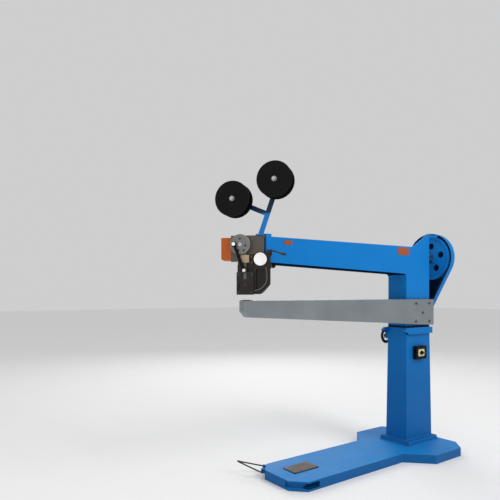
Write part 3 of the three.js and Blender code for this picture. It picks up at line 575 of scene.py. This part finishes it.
def feed_face():
    at = at_joint("feed_disc_spin")
    mesh = bmesh.new()
    rim = local_box("feed_disc", at)[1][0]
    profile = [(0.01, 20), (7, 20), (7, -4), (rim - 1.5, -4), (rim, -5.5), (rim, -12.5), (rim - 1.5, -14),
               (rim - 4, -14.2), (rim - 5, -13.4), (0.01, -13.4)]
    lathe(mesh, profile, 96, at)
    piece_from(mesh, "feed_disc_face", "feed_disc", ("white",), ("feed_disc",), angle=40)


crank_face()
feed_face()


def knurled_knob():
    at = at_joint("tension_knob_turn")
    mesh = bmesh.new()
    outline = [(4.6, -2), (9, -2), (10, 0), (10, 9), (8, 11), (4.6, 11)]
    lathe(mesh, outline, 48, at)
    for k in range(16):
        ridge = at @ Matrix.Rotation(2 * math.pi * k / 16, 4, "Y")
        block(mesh, (9.2, 0.5, -0.7), (10.8, 8.5, 0.7), ridge, chamfer=0.3)
    piece_from(mesh, "tension_knob_grip", "tension_knob", ("plastic",), ("tension_knob",))


knurled_knob()


# ---- switch -----------------------------------------------------------------------------------------
def switch():
    """The rotary knob with its pointer, and the four screws of its plate."""
    low, _ = span("switch_knob")
    at = Matrix.Translation(Vector(joints["switch_turn"]["pos_m"]))
    front = low[1] - joints["switch_turn"]["pos_m"][1] / MM
    mesh = bmesh.new()
    profile = [(0.01, front + 32), (5.6, front + 32), (5.6, front + 15), (13, front + 15), (13, front + 11),
               (12, front + 10), (0.01, front + 10)]
    lathe(mesh, profile, 56, at)
    block(mesh, (-20, front, -5.5), (20, front + 12, 5.5), at, chamfer=1.6)
    block(mesh, (6, front - 0.01, -0.9), (18, front + 1, 0.9), at, 1, chamfer=0.2)
    piece_from(mesh, "switch_knob_grip", "switch_knob", ("plastic", "white"),
            ("switch_knob",))
    plate_low, plate_high = span("switch_plate")
    screws = bmesh.new()
    for x in (plate_low[0] + 6, plate_high[0] - 6):
        for z in (plate_low[2] + 6, plate_high[2] - 6):
            spot = Matrix.Translation(Vector((x, plate_low[1], z)) * MM)
            lathe(screws, [(0.01, 0.5), (2.6, 0.5), (2.6, -0.6), (1.8, -1.1), (0.01, -1.1)], 20, spot)
    piece_from(screws, "switch_plate_screws", "frame", ("steel",))


switch()


# ---- tread plate ribs -------------------------------------------------------------------------------
def tread_ribs():
    low, high = span("pedal_plate")
    top = high[2]
    rng = random.Random(4)
    mesh = bmesh.new()
    step = 13.0
    for i in range(int((high[0] - low[0] - 24) / step)):
        for k in range(int((high[1] - low[1] - 12) / step)):
            x, y = low[0] + 14 + i * step, low[1] + 10 + k * step
            lean = math.radians(45 if (i + k) % 2 else -45)
            spot = Matrix.Translation(Vector((x, y, top)) * MM) @ Matrix.Rotation(lean, 4, "Z")
            height = 1.1 - rng.random() * 0.3
            block(mesh, (-4.6, -1.0, -0.4), (4.6, 1.0, height), spot, chamfer=0.5)
    piece_from(mesh, "tread_pattern", "pedal", ("tread",))


tread_ribs()


# ---- fasteners and welds on the frame -----------------------------------------------------------------
def flange_bolts():
    """Four hexagon bolts on the arm's end flange."""
    low, high = span("arm_end_flange")
    mesh = bmesh.new()
    facing = Matrix.Rotation(-math.pi / 2, 4, "Z")
    for y in (low[1] + 13, high[1] - 13):
        for z in (low[2] + 14, high[2] - 14):
            hex_head(mesh, Matrix.Translation(Vector((low[0], y, z)) * MM) @ facing, 7.5, 7)
    piece_from(mesh, "flange_bolts", "frame", ("dark_edge",), bevel=0.3)


def head_bolts():
    at = at_joint("crank_spin")
    down = Matrix.Translation(Vector((0, 0, -joints["crank_spin"]["pos_m"][2])))
    mesh = bmesh.new()
    for x, z, r in ((-12, 1190, 4.5), (54, 1190, 4.5), (54, 1160, 4.5), (132, 1076, 4), (132, 1128, 4)):
        spot = at @ down @ Matrix.Translation(Vector((x, 15.8, z)) * MM)
        hex_head(mesh, spot, r, 4.2)
    piece_from(mesh, "head_bolts", "frame", ("rust_bolt",), bevel=0.2)


def rod_end_nut():
    """The bright nut that holds the rod's lower end."""
    at = at_joint("crank_spin")
    pin_low, pin_high = local_box("ram_pin", at)
    rod_low, _ = local_box("connecting_rod", at)
    middle = [(a + b) / 2 for a, b in zip(pin_low, pin_high)]
    mesh = bmesh.new()
    hex_head(mesh, at @ Matrix.Translation(Vector((middle[0], rod_low[1] - 0.1, middle[2])) * MM), 6.5, 5.0)
    piece_from(mesh, "rod_end_nut", "connecting_rod", ("bright",), bevel=0.2)


rod_end_nut()


def weld_bead(name, corners, radius):
    """A rippled weld along a closed path of points in mm."""
    mesh = bmesh.new()
    rng = random.Random(len(name))
    for a, b in zip(corners, corners[1:] + corners[:1]):
        a, b = Vector(a) * MM, Vector(b) * MM
        count = max(4, int((b - a).length / (3.5 * MM)))
        points = [a.lerp(b, k / count) for k in range(count + 1)]
        tube(mesh, points, [radius * (0.85 + 0.3 * rng.random()) for _ in points], 8)
    piece_from(mesh, name, "frame", ("weld",))


flange_bolts()
head_bolts()
foot_low, foot_high = span("column_foot")
col_low, col_high = span("lower_column")
z_weld = foot_high[2] + 1
weld_bead("weld_column_foot", [(col_low[0], col_low[1], z_weld), (col_high[0], col_low[1], z_weld),
                               (col_high[0], col_high[1], z_weld), (col_low[0], col_high[1], z_weld)], 2.6)
z_weld = foot_low[2] + 1
weld_bead("weld_plinth", [(foot_low[0], foot_low[1], z_weld), (foot_high[0], foot_low[1], z_weld),
                          (foot_high[0], foot_high[1], z_weld), (foot_low[0], foot_high[1], z_weld)], 2.6)


# ---- floor, light and camera --------------------------------------------------------------------------
def studio():
    mesh = bmesh.new()
    bmesh.ops.create_grid(mesh, x_segments=1, y_segments=1, size=30)
    data = bpy.data.meshes.new("studio_floor")
    mesh.to_mesh(data)
    mesh.free()
    floor = bpy.data.objects.new("studio_floor", data)
    bpy.context.scene.collection.objects.link(floor)
    floor.location.z = -0.0005
    pale = finish("pale_floor", (0.9, 0.9, 0.9), 0.8, vary=0.01, grain=60, bump=0.02)
    data.materials.append(pale)
    world = bpy.data.worlds.new("studio")
    bpy.context.scene.world = world
    world.use_nodes = True
    sky = world.node_tree.nodes["Background"]
    sky.inputs["Color"].default_value = (1, 1, 1, 1)
    sky.inputs["Strength"].default_value = 0.62
    low, high = cad_box
    centre = (Vector(low) + Vector(high)) / 2
    soft_lights = (("key", (0.6, -4.2, 4.4), 2.6, 120), ("fill", (-4.2, -1.0, 2.4), 3.0, 24),
                   ("back", (1.5, 3.6, 3.4), 3.0, 60))
    for name, place, size, power in soft_lights:
        lamp = bpy.data.lights.new(name, "AREA")
        lamp.size = size
        lamp.energy = power
        lit = bpy.data.objects.new(name, lamp)
        bpy.context.scene.collection.objects.link(lit)
        lit.location = place
        lit.rotation_euler = (centre - Vector(place)).to_track_quat("-Z", "Y").to_euler()


def camera():
    view = bpy.data.cameras.new("camera")
    view.lens = 35.74
    view.sensor_width = 36
    view.shift_y = 0.0888
    eye = bpy.data.objects.new("camera", view)
    bpy.context.scene.collection.objects.link(eye)
    eye.location = (-2.7736, -2.0267, 1.0018)
    eye.rotation_euler = (math.radians(90), 0, math.radians(-36.1))
    bpy.context.scene.camera = eye
    bpy.context.scene.view_settings.view_transform = "Standard"


studio()
camera()
